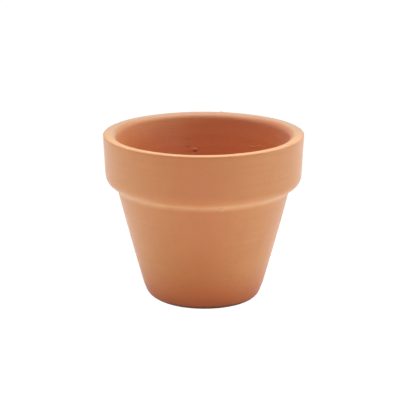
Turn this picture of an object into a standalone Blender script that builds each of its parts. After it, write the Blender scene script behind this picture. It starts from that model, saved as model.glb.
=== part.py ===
"""Terracotta flowerpot: one fired clay body, turned from a single closed section.

The section is drawn in the XZ half-plane as (radius, height) corners, each with its own
fillet, and is spun about Z. The origin is the centre of the foot, and +Z is up.
"""

import math

import bmesh
import bpy
from mathutils import Vector

MM = 0.001

# Rim band
RIM_RADIUS = 55.0 * MM
POT_HEIGHT = 92.3 * MM
LIP_WIDTH = 6.8 * MM
BAND_FOOT_RADIUS = 53.5 * MM
BAND_FOOT_HEIGHT = 66.2 * MM
LIP_OUTER_FILLET = 0.6 * MM
LIP_INNER_FILLET = 4.0 * MM
BAND_FOOT_FILLET = 6.8 * MM

# Tapered wall under the band
NECK_RADIUS = 47.5 * MM
NECK_HEIGHT = 62.5 * MM
NECK_FILLET = 0.8 * MM
FOOT_RADIUS = 30.9 * MM
FOOT_FILLET = 7.0 * MM

# Inside and floor
FLOOR_THICKNESS = 8.0 * MM
FLOOR_FILLET = 7.0 * MM
DRAIN_RADIUS = 7.0 * MM
DRAIN_FILLET = 1.2 * MM

SEGMENTS_AROUND = 96

CLAY_COLOUR = (0.56, 0.25, 0.125, 1.0)
CLAY_ROUGHNESS = 0.9


def clear_scene():
    for obj in list(bpy.data.objects):
        bpy.data.objects.remove(obj, do_unlink=True)


def clay_material():
    material = bpy.data.materials.new("terracotta")
    material.use_nodes = True
    shader = material.node_tree.nodes["Principled BSDF"]
    shader.inputs["Base Color"].default_value = CLAY_COLOUR
    shader.inputs["Roughness"].default_value = CLAY_ROUGHNESS
    shader.inputs["Metallic"].default_value = 0.0
    return material


def pot_corners():
    """Corners of the section as (radius, height, fillet, arc steps), from the drain hole's
    lower edge out along the foot, up the outside, over the lip and down the inside."""
    inner_lip_radius = RIM_RADIUS - LIP_WIDTH
    wall_slope = (NECK_RADIUS - FOOT_RADIUS) / NECK_HEIGHT
    inner_depth = POT_HEIGHT - FLOOR_THICKNESS
    inner_floor_radius = inner_lip_radius - wall_slope * inner_depth
    return [
        (DRAIN_RADIUS, 0.0, DRAIN_FILLET, 2),
        (FOOT_RADIUS, 0.0, FOOT_FILLET, 5),
        (NECK_RADIUS, NECK_HEIGHT, NECK_FILLET, 1),
        (BAND_FOOT_RADIUS, BAND_FOOT_HEIGHT, BAND_FOOT_FILLET, 5),
        (RIM_RADIUS, POT_HEIGHT, LIP_OUTER_FILLET, 2),
        (inner_lip_radius, POT_HEIGHT, LIP_INNER_FILLET, 4),
        (inner_floor_radius, FLOOR_THICKNESS, FLOOR_FILLET, 3),
        (DRAIN_RADIUS, FLOOR_THICKNESS, DRAIN_FILLET, 2),
    ]


def fillet_points(before, corner, after, radius, steps):
    """Points of the arc that rounds a corner, tangent to the two sides that meet there."""
    to_before = (before - corner).normalized()
    to_after = (after - corner).normalized()
    half_angle = to_before.angle(to_after) / 2
    tangent_length = radius / math.tan(half_angle)
    centre = corner + (to_before + to_after).normalized() * (radius / math.sin(half_angle))
    start = corner + to_before * tangent_length - centre
    end = corner + to_after * tangent_length - centre
    sweep = math.pi - 2 * half_angle
    points = []
    for step in range(steps + 1):
        share = step / steps
        start_weight = math.sin((1 - share) * sweep) / math.sin(sweep)
        end_weight = math.sin(share * sweep) / math.sin(sweep)
        points.append(centre + start * start_weight + end * end_weight)
    return points


def rounded_section(corners):
    """The closed outline through all corners, with every corner filleted."""
    places = [Vector((radius, height)) for radius, height, _, _ in corners]
    outline = []
    for index, (_, _, fillet, steps) in enumerate(corners):
        before = places[index - 1]
        after = places[(index + 1) % len(places)]
        outline += fillet_points(before, places[index], after, fillet, steps)
    return outline


def turned_body(name, outline, segments, material):
    """A closed body made by spinning a closed (radius, height) outline about Z."""
    mesh = bmesh.new()
    verts = [mesh.verts.new((point.x, 0.0, point.y)) for point in outline]
    edges = [mesh.edges.new((verts[i - 1], verts[i])) for i in range(len(verts))]
    bmesh.ops.spin(
        mesh,
        geom=verts + edges,
        cent=(0.0, 0.0, 0.0),
        axis=(0.0, 0.0, 1.0),
        angle=2 * math.pi,
        steps=segments,
        use_merge=True,
    )
    bmesh.ops.recalc_face_normals(mesh, faces=mesh.faces)
    data = bpy.data.meshes.new(name)
    mesh.to_mesh(data)
    mesh.free()
    data.materials.append(material)
    data.shade_smooth()
    data.set_sharp_from_angle(angle=math.radians(40))
    body = bpy.data.objects.new(name, data)
    bpy.context.scene.collection.objects.link(body)
    return body


def build():
    clear_scene()
    outline = rounded_section(pot_corners())
    turned_body("pot", outline, SEGMENTS_AROUND, clay_material())


build()
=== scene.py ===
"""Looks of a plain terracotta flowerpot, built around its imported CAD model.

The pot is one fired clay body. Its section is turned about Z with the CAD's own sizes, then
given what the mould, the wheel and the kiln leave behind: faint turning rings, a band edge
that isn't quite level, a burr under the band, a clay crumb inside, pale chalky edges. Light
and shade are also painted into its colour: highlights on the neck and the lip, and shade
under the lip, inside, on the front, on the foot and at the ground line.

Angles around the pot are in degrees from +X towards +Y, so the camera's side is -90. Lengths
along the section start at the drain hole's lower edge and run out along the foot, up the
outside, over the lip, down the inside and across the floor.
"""

import math

import bmesh
import bpy
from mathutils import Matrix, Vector, noise


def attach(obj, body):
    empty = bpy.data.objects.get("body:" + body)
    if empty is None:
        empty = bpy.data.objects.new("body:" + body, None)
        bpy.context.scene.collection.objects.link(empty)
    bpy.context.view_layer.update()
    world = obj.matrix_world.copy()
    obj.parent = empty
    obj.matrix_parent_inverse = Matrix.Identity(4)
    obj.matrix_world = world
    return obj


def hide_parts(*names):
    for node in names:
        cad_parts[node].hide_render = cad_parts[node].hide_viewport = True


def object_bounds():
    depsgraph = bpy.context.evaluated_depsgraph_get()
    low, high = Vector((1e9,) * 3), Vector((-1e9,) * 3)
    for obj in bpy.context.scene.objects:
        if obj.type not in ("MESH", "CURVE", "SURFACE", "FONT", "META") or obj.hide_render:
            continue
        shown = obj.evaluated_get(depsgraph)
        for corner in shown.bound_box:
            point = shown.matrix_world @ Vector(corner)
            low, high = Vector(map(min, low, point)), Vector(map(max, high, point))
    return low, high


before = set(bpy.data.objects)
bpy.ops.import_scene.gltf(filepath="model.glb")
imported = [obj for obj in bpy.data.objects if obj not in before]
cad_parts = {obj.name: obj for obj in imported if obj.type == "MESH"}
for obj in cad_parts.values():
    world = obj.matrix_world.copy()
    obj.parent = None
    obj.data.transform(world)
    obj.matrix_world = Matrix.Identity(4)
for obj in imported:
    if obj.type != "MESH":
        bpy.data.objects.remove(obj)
cad_low, cad_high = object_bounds()

MM = 0.001

# Sizes of the section. The rim radius and the height come from the frame.
RIM_RADIUS = cad_high.x
POT_HEIGHT = cad_high.z
LIP_WIDTH = 6.8 * MM
LIP_OUTER_FILLET = 0.6 * MM
LIP_INNER_FILLET = 4.0 * MM
BAND_FOOT_RADIUS = 53.5 * MM
BAND_FOOT_HEIGHT = 66.2 * MM
BAND_FOOT_FILLET = 6.8 * MM
NECK_RADIUS = 47.5 * MM
NECK_HEIGHT = 62.5 * MM
NECK_FILLET = 0.8 * MM
FOOT_RADIUS = 30.9 * MM
FOOT_FILLET = 7.0 * MM
WALL_SLOPE = (NECK_RADIUS - FOOT_RADIUS) / NECK_HEIGHT
FLOOR_THICKNESS = 8.0 * MM
FLOOR_FILLET = 7.0 * MM
DRAIN_RADIUS = 7.0 * MM
DRAIN_FILLET = 1.2 * MM

# Fineness of the mesh
SEGMENTS_AROUND = 360
ROW_SPACING = 1.05 * MM
ARC_SPACING = 0.65 * MM
FEWEST_ARC_STEPS = 3
DETAIL_CUTS = 3


# ---------------------------------------------------------------- section

def section_corners():
    """Corners as (name, radius, height, fillet), in order along the section."""
    inner_lip = RIM_RADIUS - LIP_WIDTH
    inner_floor = inner_lip - WALL_SLOPE * (POT_HEIGHT - FLOOR_THICKNESS)
    return [
        ("drain_below", DRAIN_RADIUS, 0.0, DRAIN_FILLET),
        ("foot", FOOT_RADIUS, 0.0, FOOT_FILLET),
        ("neck", NECK_RADIUS, NECK_HEIGHT, NECK_FILLET),
        ("band_foot", BAND_FOOT_RADIUS, BAND_FOOT_HEIGHT, BAND_FOOT_FILLET),
        ("lip_outer", RIM_RADIUS, POT_HEIGHT, LIP_OUTER_FILLET),
        ("lip_inner", inner_lip, POT_HEIGHT, LIP_INNER_FILLET),
        ("floor_edge", inner_floor, FLOOR_THICKNESS, FLOOR_FILLET),
        ("drain_above", DRAIN_RADIUS, FLOOR_THICKNESS, DRAIN_FILLET),
    ]


def arc_through_corner(before, corner, after, radius):
    """Points of the arc that rounds a corner, tangent to both of its sides."""
    to_before = (before - corner).normalized()
    to_after = (after - corner).normalized()
    half_angle = to_before.angle(to_after) / 2
    centre = corner + (to_before + to_after).normalized() * (radius / math.sin(half_angle))
    start = corner + to_before * (radius / math.tan(half_angle)) - centre
    end = corner + to_after * (radius / math.tan(half_angle)) - centre
    sweep = math.pi - 2 * half_angle
    steps = max(FEWEST_ARC_STEPS, round(radius * sweep / ARC_SPACING))
    points = []
    for step in range(steps + 1):
        share = step / steps
        from_start = math.sin((1 - share) * sweep) / math.sin(sweep)
        from_end = math.sin(share * sweep) / math.sin(sweep)
        points.append(centre + start * from_start + end * from_end)
    return points


def section_outline():
    """The closed outline as (radius, height) points, arcs at the corners and even steps
    between; the length along it to each point; and the length at the middle of each arc."""
    corners = section_corners()
    places = [Vector((radius, height)) for _, radius, height, _ in corners]
    arcs = []
    for index, (_, _, _, fillet) in enumerate(corners):
        after = places[(index + 1) % len(places)]
        arcs.append(arc_through_corner(places[index - 1], places[index], after, fillet))
    points, middles = [], {}
    for (name, _, _, _), arc, next_arc in zip(corners, arcs, arcs[1:] + arcs[:1]):
        middles[name] = len(points) + len(arc) // 2
        points += arc
        gap = next_arc[0] - arc[-1]
        steps = max(1, round(gap.length / ROW_SPACING))
        points += [arc[-1] + gap * (step / steps) for step in range(1, steps)]
    lengths = [0.0]
    for before, point in zip(points, points[1:]):
        lengths.append(lengths[-1] + (point - before).length)
    stations = {name: lengths[index] for name, index in middles.items()}
    return points, lengths, stations


# ---------------------------------------------------------------- shape of the clay

# How the clay differs from the plain turned shape. "Side" runs from -1 at the left to 1 at the
# right, and "back" from -1 at the camera's side to 1 at the far side.
BAND_TILT = 0.33 * MM
BAND_TILT_REACH = 12.0 * MM
FOOT_LIFT = 0.5 * MM
FOOT_LIFT_REACH = 9.0 * MM
FOOT_PINCH = 0.25 * MM
FOOT_PINCH_RIGHT = 0.2 * MM
FOOT_PINCH_HEIGHT = 4.5 * MM
FOOT_PINCH_REACH = 5.0 * MM
WALL_BOW = 0.24 * MM
INNER_SHIFT = 0.35 * MM
SEAM_ANGLE = -80.5
SEAM_BLEND = 2.0
NECK_SOFTENING = 0.12 * MM
NECK_REACH = 1.8 * MM
WOBBLE_HEIGHT = 0.12 * MM
WOBBLE_LENGTH = 28.0 * MM
DIMPLE_HEIGHT = 0.035 * MM
DIMPLE_LENGTH = 5.0 * MM
RING_HEIGHT = 0.045 * MM
RING_SPACING = 3.4 * MM
RING_TURN = 0.7


def smooth_step(low, high, value):
    share = min(1.0, max(0.0, (value - low) / (high - low)))
    return share * share * (3 - 2 * share)


def hump(distance, reach):
    """1 at the middle, easing to 0 at reach on either side."""
    return 1.0 - smooth_step(0.0, reach, abs(distance))


def turn_between(angle, centre):
    """The signed turn from centre to angle, from -180 to 180 degrees."""
    return (angle - centre + 180.0) % 360.0 - 180.0


def left_of_seam(angle):
    """1 from the seam under the band round to the left side, where the neck is softer, and 0
    elsewhere. It changes over a few degrees at the seam and all at once at 180 degrees."""
    return smooth_step(SEAM_ANGLE + SEAM_BLEND, SEAM_ANGLE - SEAM_BLEND, turn_between(angle, 0.0))


class Feature:
    """A small raised or sunken spot of the clay, at an angle and a place along the section.
    A shade above 0 darkens it with painted shade; one below 0 paints it the pale wear colour, as a
    painted highlight."""

    def __init__(self, angle, along, half_around, half_along, rise, shade=0.0):
        self.angle = angle
        self.along = along
        self.half_around = half_around
        self.half_along = half_along
        self.rise = rise
        self.shade = shade

    def share_at(self, angle, along, radius):
        """1 at the middle of the feature, 0 outside it."""
        around = math.radians(turn_between(angle, self.angle)) * radius
        if abs(around) > self.half_around or abs(along - self.along) > self.half_along:
            return 0.0
        share_along = (along - self.along) / self.half_along
        return hump(math.hypot(around / self.half_around, share_along), 1.0)


def small_features(stations, inner_wall):
    """Marks left by handling. inner_wall turns a height on the inner wall into a length along
    the section."""
    neck = stations["neck"]
    lip = stations["lip_outer"]
    foot = stations["foot"]
    return [
        # clay crumb on the far inner wall, with the hollow that it was dragged out of; the hollows
        # are darkened with painted shade, the lower one as a painted shadow under the crumb
        Feature(96.0, inner_wall(73.3 * MM), 2.3 * MM, 1.3 * MM, 0.5 * MM),
        Feature(96.2, inner_wall(72.2 * MM), 2.0 * MM, 0.75 * MM, -0.3 * MM, 0.9),
        Feature(93.4, inner_wall(73.6 * MM), 0.8 * MM, 1.0 * MM, -0.15 * MM, 0.25),
        # short scratches beside it, darkened with painted shade
        Feature(101.2, inner_wall(78.8 * MM), 3.0 * MM, 1.0 * MM, -0.05 * MM, 0.24),
        Feature(101.8, inner_wall(74.9 * MM), 3.0 * MM, 0.9 * MM, -0.07 * MM, 0.3),
        Feature(101.0, inner_wall(72.3 * MM), 3.2 * MM, 0.8 * MM, -0.05 * MM, 0.2),
        # smears high on the right of the inner wall
        Feature(50.0, inner_wall(76.8 * MM), 5.0 * MM, 0.7 * MM, 0.1 * MM),
        Feature(43.0, inner_wall(78.0 * MM), 4.0 * MM, 0.6 * MM, 0.1 * MM),
        # burr where the mould's halves met, under the band, with a painted highlight, and the gap
        # beside it in painted shade
        Feature(-78.1, neck - 0.3 * MM, 1.0 * MM, 2.0 * MM, 0.9 * MM, -1.8),
        Feature(-80.1, neck + 0.1 * MM, 1.1 * MM, 1.8 * MM, -0.3 * MM, 0.2),
        # burr and nicks on the lip's outer edge
        Feature(79.0, lip, 1.9 * MM, 1.4 * MM, 0.3 * MM),
        Feature(151.0, lip, 1.6 * MM, 1.0 * MM, -0.3 * MM),
        Feature(222.0, lip, 1.1 * MM, 0.9 * MM, -0.25 * MM),
        Feature(318.0, lip, 0.9 * MM, 0.8 * MM, -0.18 * MM),
        # bruises on the foot's edge
        Feature(24.0, foot - 4.0 * MM, 2.2 * MM, 1.6 * MM, -0.3 * MM),
        Feature(197.0, foot - 3.0 * MM, 1.8 * MM, 1.4 * MM, -0.25 * MM),
    ]


# ---------------------------------------------------------------- pot mesh

def turned_mesh(points, lengths):
    """The section turned about Z as a closed quad grid, with each vertex's length along the
    section kept in the layer "along"."""
    mesh = bmesh.new()
    along = mesh.verts.layers.float.new("along")
    grid = []
    for point, length in zip(points, lengths):
        row = []
        for column in range(SEGMENTS_AROUND):
            angle = 2 * math.pi * column / SEGMENTS_AROUND
            place = (point.x * math.cos(angle), point.x * math.sin(angle), point.y)
            vert = mesh.verts.new(place)
            vert[along] = length
            row.append(vert)
        grid.append(row)
    for row, next_row in zip(grid, grid[1:] + grid[:1]):
        for column in range(SEGMENTS_AROUND):
            beside = (column + 1) % SEGMENTS_AROUND
            mesh.faces.new((row[column], row[beside], next_row[beside], next_row[column]))
    return mesh


def refine_near(mesh, features):
    """Splits the faces around each feature, so that its shape has room."""
    along = mesh.verts.layers.float["along"]
    edges = set()
    for face in mesh.faces:
        vert = face.verts[0]
        angle = math.degrees(math.atan2(vert.co.y, vert.co.x))
        radius = math.hypot(vert.co.x, vert.co.y)
        for feature in features:
            if abs(vert[along] - feature.along) > feature.half_along + ROW_SPACING:
                continue
            around = math.radians(turn_between(angle, feature.angle)) * radius
            if abs(around) < feature.half_around + ROW_SPACING:
                edges.update(face.edges)
    bmesh.ops.subdivide_edges(mesh, edges=list(edges), cuts=DETAIL_CUTS, use_grid_fill=True)


def surface_rise(place, angle, along, stations, features):
    """How far the real surface stands out from the plain turned one."""
    radius = math.hypot(place.x, place.y)
    side = math.cos(math.radians(angle))
    back = math.sin(math.radians(angle))
    ring_place = (side * RING_TURN, back * RING_TURN, along / RING_SPACING)
    rise = WOBBLE_HEIGHT * noise.noise(place / WOBBLE_LENGTH)
    rise += DIMPLE_HEIGHT * noise.noise(place / DIMPLE_LENGTH)
    rise += RING_HEIGHT * noise.noise(ring_place)
    foot, neck = stations["foot"], stations["neck"]
    if foot < along < neck:
        rise += WALL_BOW * math.sin(math.pi * (along - foot) / (neck - foot))
    if along < neck:
        pinch = FOOT_PINCH * abs(side) + FOOT_PINCH_RIGHT * max(0.0, side)
        rise -= pinch * hump(place.z - FOOT_PINCH_HEIGHT, FOOT_PINCH_REACH)
    rise += NECK_SOFTENING * left_of_seam(angle) * hump(along - neck, NECK_REACH)
    for feature in features:
        rise += feature.rise * feature.share_at(angle, along, radius)
    return rise


def weather(mesh, stations, features):
    """Moves every vertex from the plain turned surface to the real one, and none of them below
    the ground."""
    along = mesh.verts.layers.float["along"]
    mesh.normal_update()
    moves = []
    for vert in mesh.verts:
        at = vert[along]
        angle = math.degrees(math.atan2(vert.co.y, vert.co.x))
        side = math.cos(math.radians(angle))
        move = vert.normal * surface_rise(vert.co, angle, at, stations, features)
        move.z -= BAND_TILT * side * hump(at - stations["band_foot"], BAND_TILT_REACH)
        move.z += FOOT_LIFT * (1 - side) / 2 * hump(at - stations["foot"], FOOT_LIFT_REACH)
        move.x -= INNER_SHIFT * smooth_step(stations["lip_outer"], stations["lip_inner"], at)
        if vert.co.z + move.z < 0:
            move.z = -vert.co.z
        moves.append(move)
    for vert, move in zip(mesh.verts, moves):
        vert.co += move


# ---------------------------------------------------------------- finish and painted light

# Bloom and wear on the lip, partly a painted highlight that is strongest at the front. That pale
# layer starts before the lip's outer edge at the back, and just past it at the front.
LIP_BLOOM_LEAD = 0.3 * MM
LIP_BLOOM_LEAD_BACK = 0.5 * MM
LIP_BLOOM_REACH = 0.8 * MM
LIP_BLOOM_FADE = 2.6 * MM
LIP_BLOOM_FADE_LOSS_BACK = 1.3 * MM
LIP_BLOOM_LEFT = 2.5 * MM
LIP_BLOOM_LEFT_END = 0.35
LIP_BLOOM_FRONT = 1.2 * MM
LIP_BLOOM_BACK = 1.6 * MM
LIP_WEAR = 0.85
LIP_WEAR_STARTS = 0.4
LIP_WEAR_FULL = -0.5

# Painted highlight along the neck, and more painted highlight on it at the front's right
NECK_HIGHLIGHT_BELOW = 3.2 * MM
NECK_HIGHLIGHT_ABOVE = 7.5 * MM
NECK_HIGHLIGHT_LOSS = 0.1
NECK_HIGHLIGHT_RAISE = 0.5 * MM
NECK_RIGHT_HIGHLIGHT = 0.8
NECK_RIGHT_HIGHLIGHT_REACH = 2.2 * MM
NECK_RIGHT_HIGHLIGHT_FROM = -52.0
NECK_RIGHT_HIGHLIGHT_TO = -30.0
NECK_RIGHT_HIGHLIGHT_ENDS = 0.2
NECK_RIGHT_HIGHLIGHT_FULL = -0.1

# Painted shade inside: the clay's colour turns darker and redder down the inner wall
INSIDE_START = 2.6 * MM
RIM_TO_DEEP = 10.0 * MM
RIM_TO_DEEP_SIDE = 7.0 * MM
RIM_TO_DEEP_BACK = 4.0 * MM
DEEP_SHARE = 0.87
DEEP_SIDE_LOSS = 0.43
DEEP_TILT = 0.22

# Painted shade, made duller too, in the corner under the lip
INNER_RING_DEPTH = 2.2 * MM
INNER_RING_REACH = 1.6 * MM
INNER_RING_SHADE = 0.12
INNER_SIDE_SHADE = 0.16
INNER_SIDE_ANGLE = 5.0
INNER_SIDE_TURN = 35.0
INNER_SIDE_FROM = 1.0 * MM
INNER_SIDE_TO = 3.0 * MM
LIP_BACK_SHADE = 0.3
LIP_BACK_SHADE_TILT = 0.4
LIP_BACK_SHADE_REACH = 3.0 * MM

# Foot, with painted shade low on it, a painted contact shadow along the ground line, and the
# underside
FOOTING_HEIGHT = 25.0 * MM
FOOT_SHADE = 0.09
FOOT_SHADE_FROM = 13.0 * MM
FOOT_SHADE_TO = 4.0 * MM
CONTACT_SHADOW_HEIGHT = 3.2 * MM
CONTACT_SHADOW_SHARPNESS = 0.5
UNDERSIDE_FROM = 3.0 * MM
UNDERSIDE_TO = 4.4 * MM
UNDERSIDE_WEAR = 0.35

# Painted shade on the middle of the front, which is made redder and darker
FRONT_SHADE_ANGLE = -94.0
FRONT_SHADE_REACH = 50.0

FINISH_LAYERS = ("bloom_and_highlight", "wear_and_highlight", "inside", "footing", "painted_contact_shadow", "painted_front_shade", "shade")


def lip_bloom(at, side, back, stations):
    """Pale chalky efflorescence over the lip, partly a painted highlight, reaching furthest down
    the inside on the left and the front.
    """
    start = stations["lip_outer"] - LIP_BLOOM_LEAD - LIP_BLOOM_LEAD_BACK * back
    end = stations["lip_inner"] + LIP_BLOOM_REACH
    end += LIP_BLOOM_LEFT * max(0.0, -side) * smooth_step(LIP_BLOOM_LEFT_END, 0.0, back)
    end += LIP_BLOOM_FRONT * max(0.0, -back) - LIP_BLOOM_BACK * max(0.0, back)
    fade = LIP_BLOOM_FADE - LIP_BLOOM_FADE_LOSS_BACK * max(0.0, back)
    begun = smooth_step(start, start + LIP_BLOOM_REACH, at)
    return begun * smooth_step(end, end - LIP_BLOOM_REACH - fade, at)


def painted_neck_highlight(at, angle, neck):
    """The painted highlight along the neck, a little weaker on the left of the seam."""
    middle = neck + NECK_HIGHLIGHT_RAISE
    below = smooth_step(middle - NECK_HIGHLIGHT_BELOW, middle, at)
    above = smooth_step(middle + NECK_HIGHLIGHT_ABOVE, middle, at)
    return below * above * (1 - NECK_HIGHLIGHT_LOSS * left_of_seam(angle))


def painted_neck_highlight_right(at, angle, back, neck):
    """More painted highlight along the neck, from the front's right to the right side. A short
    stretch of it is also just behind the left side, up to 180 degrees."""
    on_right = smooth_step(NECK_RIGHT_HIGHLIGHT_FROM, NECK_RIGHT_HIGHLIGHT_TO, angle)
    bloom_and_highlight = hump(at - neck, NECK_RIGHT_HIGHLIGHT_REACH) * on_right
    return NECK_RIGHT_HIGHLIGHT * (bloom_and_highlight * smooth_step(NECK_RIGHT_HIGHLIGHT_ENDS, NECK_RIGHT_HIGHLIGHT_FULL, back))


def painted_inside_shade(at, side, back, lip_inner):
    """Painted shade down the inside: the colour turns darker and redder, sooner at the back and the
    right, least at the left.
    """
    full_at = lip_inner + RIM_TO_DEEP - RIM_TO_DEEP_SIDE * side
    full_at -= RIM_TO_DEEP_BACK * max(0.0, back)
    most = DEEP_SHARE - DEEP_SIDE_LOSS * (1 - abs(back)) + DEEP_TILT * side
    return smooth_step(lip_inner - INSIDE_START, full_at, at) * most


def painted_shade_under_lip(at, angle, side, back, lip_inner):
    """Painted shade in a ring under the lip, on the right of the inner wall, and in the far
    lip's inner corner."""
    past_lip = at - lip_inner
    shade = INNER_RING_SHADE * hump(past_lip - INNER_RING_DEPTH, INNER_RING_REACH)
    on_wall = smooth_step(INNER_SIDE_FROM, INNER_SIDE_TO, past_lip)
    to_right = hump(turn_between(angle, INNER_SIDE_ANGLE), INNER_SIDE_TURN)
    shade += INNER_SIDE_SHADE * on_wall * to_right
    at_back = LIP_BACK_SHADE * max(0.0, back) * (1 - LIP_BACK_SHADE_TILT * side)
    return shade + at_back * hump(past_lip, LIP_BACK_SHADE_REACH)


def finish_at(place, at, stations, features):
    """How much of each kind of finish, painted light and painted shade the clay has at one place,
    by layer.
    """
    turn = math.atan2(place.y, place.x)
    angle = math.degrees(turn)
    side, back = math.cos(turn), math.sin(turn)
    neck, lip_inner = stations["neck"], stations["lip_inner"]
    outside = at < stations["lip_outer"]
    in_from_foot = stations["foot"] - at
    underneath = smooth_step(UNDERSIDE_FROM, UNDERSIDE_TO, in_from_foot)

    # pale lip, partly chalky and partly a painted highlight
    bloom_and_highlight = lip_bloom(at, side, back, stations)
    # wear on the lip, with a painted highlight, strongest at the front
    lip_wear_and_highlight = LIP_WEAR * bloom_and_highlight * smooth_step(LIP_WEAR_STARTS, LIP_WEAR_FULL, back)
    # painted highlight along the neck; the pale features below add their painted highlight to it
    painted_highlight = painted_neck_highlight(at, angle, neck)
    shade = painted_shade_under_lip(at, angle, side, back, lip_inner)
    # painted shade low on the foot
    shade += outside * FOOT_SHADE * smooth_step(FOOT_SHADE_FROM, FOOT_SHADE_TO, place.z)
    for feature in features:
        strength = feature.shade * feature.share_at(angle, at, math.hypot(place.x, place.y))
        shade += max(0.0, strength)
        painted_highlight += max(0.0, -strength)
    # painted contact shadow along the ground line
    painted_contact_shadow = outside * smooth_step(CONTACT_SHADOW_HEIGHT, 0.0, place.z) ** CONTACT_SHADOW_SHARPNESS
    return {
        "bloom_and_highlight": max(bloom_and_highlight, painted_neck_highlight_right(at, angle, back, neck)),
        "wear_and_highlight": max(lip_wear_and_highlight, painted_highlight, UNDERSIDE_WEAR * underneath),
        "inside": painted_inside_shade(at, side, back, lip_inner),
        "footing": outside * smooth_step(FOOTING_HEIGHT, 0.0, place.z),
        "painted_contact_shadow": painted_contact_shadow * (1 - underneath),
        "painted_front_shade": outside * hump(turn_between(angle, FRONT_SHADE_ANGLE), FRONT_SHADE_REACH),
        "shade": shade,
    }


def mark_finish(mesh, stations, features):
    """Stores every vertex's finish and painted light and shade in float layers, which the material
    reads by name.
    """
    along = mesh.verts.layers.float["along"]
    layers = {name: mesh.verts.layers.float.new(name) for name in FINISH_LAYERS}
    for vert in mesh.verts:
        finish = finish_at(vert.co, vert[along], stations, features)
        for name in FINISH_LAYERS:
            vert[layers[name]] = finish[name]


def link(obj):
    bpy.context.scene.collection.objects.link(obj)
    return obj


def build_pot():
    points, lengths, stations = section_outline()
    per_height = math.hypot(1.0, WALL_SLOPE)

    def inner_wall(height):
        return stations["lip_inner"] + (POT_HEIGHT - height) * per_height

    features = small_features(stations, inner_wall)
    mesh = turned_mesh(points, lengths)
    refine_near(mesh, features)
    weather(mesh, stations, features)
    mark_finish(mesh, stations, features)
    data = bpy.data.meshes.new("terracotta_pot")
    mesh.to_mesh(data)
    mesh.free()
    data.shade_smooth()
    return link(bpy.data.objects.new("terracotta_pot", data))


# ---------------------------------------------------------------- material

# Colours
CLAY = (0.735, 0.276, 0.060)
CLAY_PALE = (0.785, 0.312, 0.084)
CLAY_RED = (0.70, 0.243, 0.046)
# painted shade on the front's middle
PAINTED_FRONT_SHADE = (0.685, 0.184, 0.026)
CLAY_FOOT = (0.71, 0.160, 0.024)
# painted contact shadow
PAINTED_CONTACT_SHADOW = (0.15, 0.06, 0.035)
# painted shade inside the pot
PAINTED_INSIDE_SHADE = (0.63, 0.150, 0.026)
# pale chalky colour, also used for painted highlight on the lip and neck
CLAY_BLOOM_AND_HIGHLIGHT = (0.62, 0.385, 0.235)
# pale wear colour, also used for painted highlight on the lip, neck and burr
CLAY_WEAR_AND_HIGHLIGHT = (0.92, 0.485, 0.205)
CLAY_SPECK = (0.36, 0.12, 0.05)
CLAY_GRIT = (0.80, 0.46, 0.25)
# painted shade
PAINTED_SHADE = (0.22, 0.055, 0.02)

# Patterns: a noise's scale per metre and its detail, and a spot pattern's scale per metre
BLOTCH = (26.0, 3.0)
CLOUD = (95.0, 4.0)
GRAIN = (1300.0, 2.0)
PITTING = (480.0, 2.0)
STREAK = (1.0, 4.0)
STREAK_STRETCH = (22.0, 22.0, 620.0)
NOISE_ROUGHNESS = 0.55
SPECK_SCALE = 420.0
GRIT_SCALE = 560.0

# How each pattern shows: two values of the pattern, and the two that they are mapped to. For
# specks and grit the pattern is the distance from the spot's middle.
PALE_BLOTCH = (0.4, 0.75, 0.0, 0.45)
PALE_STREAK = (0.45, 0.8, 0.0, 0.5)
PALE_GRAIN = (0.4, 0.8, 0.0, 0.35)
RED_CLOUD = (0.55, 0.25, 0.0, 0.4)
RED_STREAK = (0.5, 0.2, 0.0, 0.5)
RED_GRAIN = (0.5, 0.2, 0.0, 0.35)
FRONT_SHADE_BLOTCH = (0.3, 0.6, 0.6, 0.8)
PATCHY_CLOUD = (0.3, 0.65, 0.75, 1.1)
SPECK_SPOT = (0.16, 0.08, 0.0, 0.34)
GRIT_SPOT = (0.16, 0.08, 0.0, 0.3)
ROUGHNESS_GRAIN = (0.2, 0.8, 0.34, 0.42)
ROUGHNESS_STREAK = (0.3, 0.7, -0.03, 0.03)
BUMP_STREAK = (0.2, 0.8, 0.0, 0.5)
BUMP_GRAIN = (0.2, 0.8, 0.0, 0.35)
BUMP_PITTING = (0.2, 0.35, -0.5, 0.0)
BUMP_SPECK = (0.14, 0.0, 0.0, -0.5)

# Surface
ROUGHNESS_BLOOM = 0.12
ROUGHNESS_SHADE = 0.5
CLAY_SPECULAR = 1.0
CLAY_SHEEN = 0.2
CLAY_SHEEN_ROUGHNESS = 0.4
BUMP_DEPTH = 0.07 * MM


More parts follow.
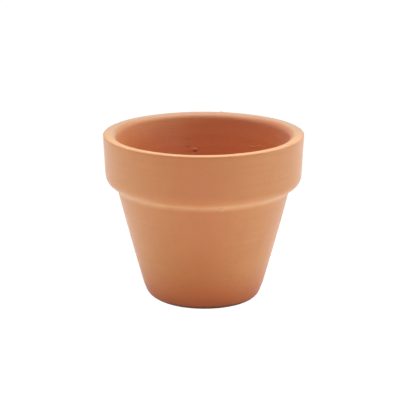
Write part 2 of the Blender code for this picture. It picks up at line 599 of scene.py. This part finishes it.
class Sketch:
    """Adds shader nodes to one material and wires them together."""

    def __init__(self, material):
        material.use_nodes = True
        self.tree = material.node_tree
        self.shader = self.tree.nodes["Principled BSDF"]
        self.place = self.tree.nodes.new("ShaderNodeTexCoord").outputs["Object"]

    def add(self, kind, settings, inputs):
        node = self.tree.nodes.new(kind)
        for name, value in settings.items():
            setattr(node, name, value)
        for name, value in inputs.items():
            if isinstance(value, bpy.types.NodeSocket):
                self.tree.links.new(value, node.inputs[name])
            else:
                node.inputs[name].default_value = value
        return node

    def stretched(self, scale):
        inputs = {"Vector": self.place, "Scale": scale}
        return self.add("ShaderNodeMapping", {}, inputs).outputs["Vector"]

    def noise(self, place, scale, detail):
        inputs = {"Vector": place, "Scale": scale, "Detail": detail, "Roughness": NOISE_ROUGHNESS}
        return self.add("ShaderNodeTexNoise", {}, inputs).outputs["Fac"]

    def spots(self, scale):
        inputs = {"Vector": self.place, "Scale": scale, "Randomness": 1.0}
        return self.add("ShaderNodeTexVoronoi", {}, inputs).outputs["Distance"]

    def ramp(self, value, low, high, start, end):
        """Maps low..high to start..end smoothly and holds it outside that range."""
        settings = {"interpolation_type": "SMOOTHSTEP"}
        inputs = {"Value": value, "From Min": low, "From Max": high, "To Min": start, "To Max": end}
        return self.add("ShaderNodeMapRange", settings, inputs).outputs["Result"]

    def maths(self, operation, first, second):
        inputs = {0: first, 1: second}
        return self.add("ShaderNodeMath", {"operation": operation}, inputs).outputs["Value"]

    def total(self, values):
        result = values[0]
        for value in values[1:]:
            result = self.maths("ADD", result, value)
        return result

    def mix(self, share, first, second):
        """A mix of two colours; a plain colour may be given as three numbers."""
        colours = [(*c, 1.0) if isinstance(c, tuple) else c for c in (first, second)]
        inputs = {"Fac": share, "Color1": colours[0], "Color2": colours[1]}
        return self.add("ShaderNodeMixRGB", {}, inputs).outputs["Color"]

    def attribute(self, name):
        return self.add("ShaderNodeAttribute", {"attribute_name": name}, {}).outputs["Fac"]


def clay_patterns(sketch):
    """The patterns that the clay's colour, roughness and height share."""
    return {
        "blotch": sketch.noise(sketch.place, *BLOTCH),
        "cloud": sketch.noise(sketch.place, *CLOUD),
        "streak": sketch.noise(sketch.stretched(STREAK_STRETCH), *STREAK),
        "grain": sketch.noise(sketch.place, *GRAIN),
        "speck": sketch.spots(SPECK_SCALE),
        "grit": sketch.spots(GRIT_SCALE),
        "pitting": sketch.noise(sketch.place, *PITTING),
    }


def clay_colour(sketch, pattern, bloom_and_highlight, wear_and_highlight, shade):
    """Mottled clay with the other colours laid over it one after another."""
    pale = sketch.total([
        sketch.ramp(pattern["blotch"], *PALE_BLOTCH),
        sketch.ramp(pattern["streak"], *PALE_STREAK),
        sketch.ramp(pattern["grain"], *PALE_GRAIN),
    ])
    red = sketch.total([
        sketch.ramp(pattern["cloud"], *RED_CLOUD),
        sketch.ramp(pattern["streak"], *RED_STREAK),
        sketch.ramp(pattern["grain"], *RED_GRAIN),
    ])
    blotchy = sketch.ramp(pattern["blotch"], *FRONT_SHADE_BLOTCH)
    # Several layers are painted light: shade on the front and inside, the contact shadow, the
    # highlights mixed into the pale layers, and the shade layer.
    layers = [
        (pale, CLAY_PALE),
        (red, CLAY_RED),
        (sketch.maths("MULTIPLY", sketch.attribute("painted_front_shade"), blotchy), PAINTED_FRONT_SHADE),
        (sketch.attribute("footing"), CLAY_FOOT),
        (sketch.attribute("painted_contact_shadow"), PAINTED_CONTACT_SHADOW),
        (sketch.attribute("inside"), PAINTED_INSIDE_SHADE),
        (bloom_and_highlight, CLAY_BLOOM_AND_HIGHLIGHT),
        (wear_and_highlight, CLAY_WEAR_AND_HIGHLIGHT),
        (sketch.ramp(pattern["speck"], *SPECK_SPOT), CLAY_SPECK),
        (sketch.ramp(pattern["grit"], *GRIT_SPOT), CLAY_GRIT),
        (shade, PAINTED_SHADE),
    ]
    colour = CLAY
    for share, tint in layers:
        colour = sketch.mix(share, colour, tint)
    return colour


def clay_roughness(sketch, pattern, bloom_and_highlight, shade):
    """Rougher where the clay is chalky or has painted highlight, and where shade is painted."""
    return sketch.total([
        sketch.ramp(pattern["grain"], *ROUGHNESS_GRAIN),
        sketch.ramp(pattern["streak"], *ROUGHNESS_STREAK),
        sketch.maths("MULTIPLY", bloom_and_highlight, ROUGHNESS_BLOOM),
        sketch.maths("MULTIPLY", shade, ROUGHNESS_SHADE),
    ])


def clay_height(sketch, pattern):
    """Turning lines and grain stand up; pits and specks lie below the surface."""
    return sketch.total([
        sketch.ramp(pattern["streak"], *BUMP_STREAK),
        sketch.ramp(pattern["grain"], *BUMP_GRAIN),
        sketch.ramp(pattern["pitting"], *BUMP_PITTING),
        sketch.ramp(pattern["speck"], *BUMP_SPECK),
    ])


def clay_material():
    material = bpy.data.materials.new("fired_clay")
    sketch = Sketch(material)
    pattern = clay_patterns(sketch)
    patchy = sketch.ramp(pattern["cloud"], *PATCHY_CLOUD)
    # the pale layers carry painted highlight as well as chalk and wear; the shade layer is painted
    # shade
    bloom_and_highlight = sketch.maths("MULTIPLY", sketch.attribute("bloom_and_highlight"), patchy)
    wear_and_highlight = sketch.maths("MULTIPLY", sketch.attribute("wear_and_highlight"), patchy)
    shade = sketch.attribute("shade")

    colour = clay_colour(sketch, pattern, bloom_and_highlight, wear_and_highlight, shade)
    roughness = clay_roughness(sketch, pattern, bloom_and_highlight, shade)
    height = clay_height(sketch, pattern)
    bump_inputs = {"Strength": 1.0, "Distance": BUMP_DEPTH, "Height": height}
    bump = sketch.add("ShaderNodeBump", {}, bump_inputs)
    sketch.shader.inputs["Specular IOR Level"].default_value = CLAY_SPECULAR
    sketch.shader.inputs["Sheen Weight"].default_value = CLAY_SHEEN
    sketch.shader.inputs["Sheen Roughness"].default_value = CLAY_SHEEN_ROUGHNESS
    sketch.tree.links.new(colour, sketch.shader.inputs["Base Color"])
    sketch.tree.links.new(roughness, sketch.shader.inputs["Roughness"])
    sketch.tree.links.new(bump.outputs["Normal"], sketch.shader.inputs["Normal"])
    return material


# ---------------------------------------------------------------- studio

CAMERA_DISTANCE = 965.6 * MM
CAMERA_HEIGHT = 316.9 * MM
CAMERA_SIDE = -1.93 * MM
CAMERA_PITCH = 0.26542
CAMERA_LENS = 163.33
SENSOR_WIDTH = 36.0

# Softboxes as (name, azimuth, elevation, watts). Azimuth 0 is the camera's side, 90 is +X. The
# strong ones hang high behind the pot, and the others stand for the white walls of a light tent.
SOFTBOX_DISTANCE = 2.0
SOFTBOX_SIZE = 1.3
SOFTBOXES = [
    ("main_behind_right", 135.0, 68.0, 16.4),
    ("main_behind_left", 225.0, 68.0, 12.0),
    ("main_behind", 180.0, 68.0, 2.6),
    ("overhead_right", 90.0, 68.0, 3.4),
    ("overhead_front_left", 315.0, 68.0, 1.0),
    ("wall_left", 270.0, 40.0, 4.4),
    ("wall_behind_right", 135.0, 40.0, 2.1),
    ("low_right", 90.0, 12.0, 2.8),
    ("low_front_right", 45.0, 12.0, 2.0),
    ("low_behind_right", 135.0, 12.0, 3.2),
    ("low_behind_left", 225.0, 12.0, 3.5),
]
TENT_LIGHT = 0.344
TENT_SUBDIVISIONS = 4

FLOOR_REACH = 3.0
FLOOR_SIDES = 96
UNDER_POT_RADIUS = 20.0 * MM
SEEN_FLOOR_DROP = 0.05 * MM
MERGE_DISTANCE = 0.1 * MM
TENT_RADIUS = 2.94

PAPER_WHITENESS = 0.9
LIT_WHITENESS = 0.1
LIT_GLOW = 1.0
PAPER_ROUGHNESS = 0.9
PAPER_SPECULAR = 0.2
WHITE = (1.0, 1.0, 1.0, 1.0)


def add_camera():
    data = bpy.data.cameras.new("camera")
    data.lens = CAMERA_LENS
    data.sensor_width = SENSOR_WIDTH
    camera = link(bpy.data.objects.new("camera", data))
    camera.location = (CAMERA_SIDE, -CAMERA_DISTANCE, CAMERA_HEIGHT)
    camera.rotation_euler = (math.pi / 2 - CAMERA_PITCH, 0.0, 0.0)
    bpy.context.scene.camera = camera


def add_softbox(name, azimuth, elevation, watts):
    """A round softbox aimed at the middle of the pot."""
    turn, lift = math.radians(azimuth), math.radians(elevation)
    level = math.cos(lift)
    away = Vector((math.sin(turn) * level, -math.cos(turn) * level, math.sin(lift)))
    data = bpy.data.lights.new(name, "AREA")
    data.shape = "DISK"
    data.size = SOFTBOX_SIZE
    data.energy = watts
    light = link(bpy.data.objects.new(name, data))
    light.location = Vector((0.0, 0.0, POT_HEIGHT / 2)) + away * SOFTBOX_DISTANCE
    light.rotation_euler = (-away).to_track_quat("-Z", "Y").to_euler()


def add_lights():
    for name, azimuth, elevation, watts in SOFTBOXES:
        add_softbox(name, azimuth, elevation, watts)


def floor_ring(name, inner, outer):
    """A flat ring at the height that the pot stands on; inner 0 makes a disc."""
    mesh = bmesh.new()
    rings = []
    for radius in (inner, outer):
        ring = []
        for side in range(FLOOR_SIDES):
            angle = 2 * math.pi * side / FLOOR_SIDES
            ring.append(mesh.verts.new((radius * math.cos(angle), radius * math.sin(angle), 0.0)))
        rings.append(ring)
    for side in range(FLOOR_SIDES):
        beside = (side + 1) % FLOOR_SIDES
        quad = (rings[0][side], rings[1][side], rings[1][beside], rings[0][beside])
        mesh.faces.new(quad)
    if inner == 0:
        bmesh.ops.remove_doubles(mesh, verts=mesh.verts, dist=MERGE_DISTANCE)
    data = bpy.data.meshes.new(name)
    mesh.to_mesh(data)
    mesh.free()
    return link(bpy.data.objects.new(name, data))


def paper_material(name, whiteness, glow):
    material = bpy.data.materials.new(name)
    material.use_nodes = True
    shader = material.node_tree.nodes["Principled BSDF"]
    shader.inputs["Base Color"].default_value = (whiteness, whiteness, whiteness, 1.0)
    shader.inputs["Roughness"].default_value = PAPER_ROUGHNESS
    shader.inputs["Specular IOR Level"].default_value = PAPER_SPECULAR
    shader.inputs["Emission Color"].default_value = WHITE
    shader.inputs["Emission Strength"].default_value = glow
    return material


def add_floor():
    """White paper. The ring that lights the pot is separate from the ring that is seen, which
    glows a little, so that the paper stays white where the pot shades it."""
    paper = paper_material("white_paper", PAPER_WHITENESS, 0.0)
    under = floor_ring("floor_under_pot", 0.0, UNDER_POT_RADIUS)
    bounce = floor_ring("floor_bounce", UNDER_POT_RADIUS, FLOOR_REACH)
    bounce.visible_camera = False
    seen = floor_ring("floor_seen", UNDER_POT_RADIUS, FLOOR_REACH)
    seen.visible_diffuse = False
    seen.visible_glossy = False
    seen.visible_shadow = False
    seen.location.z = -SEEN_FLOOR_DROP
    under.data.materials.append(paper)
    bounce.data.materials.append(paper)
    seen.data.materials.append(paper_material("lit_paper", LIT_WHITENESS, LIT_GLOW))


def add_tent():
    """A white ball round the whole set that lights nothing, so that low views have no dark
    horizon, and a world light for the even light that a real tent sheds."""
    mesh = bmesh.new()
    bmesh.ops.create_icosphere(mesh, subdivisions=TENT_SUBDIVISIONS, radius=TENT_RADIUS)
    data = bpy.data.meshes.new("tent")
    mesh.to_mesh(data)
    mesh.free()
    tent = link(bpy.data.objects.new("tent", data))
    tent.visible_diffuse = False
    tent.visible_glossy = False
    tent.visible_shadow = False
    data.materials.append(paper_material("tent_cloth", LIT_WHITENESS, LIT_GLOW))

    world = bpy.data.worlds.new("studio")
    world.use_nodes = True
    background = world.node_tree.nodes["Background"]
    background.inputs["Color"].default_value = WHITE
    background.inputs["Strength"].default_value = TENT_LIGHT
    bpy.context.scene.world = world


pot = build_pot()
pot.data.materials.append(clay_material())
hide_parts("pot")
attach(pot, "root")

add_floor()
add_tent()
add_lights()
add_camera()
bpy.context.scene.view_settings.view_transform = "Standard"
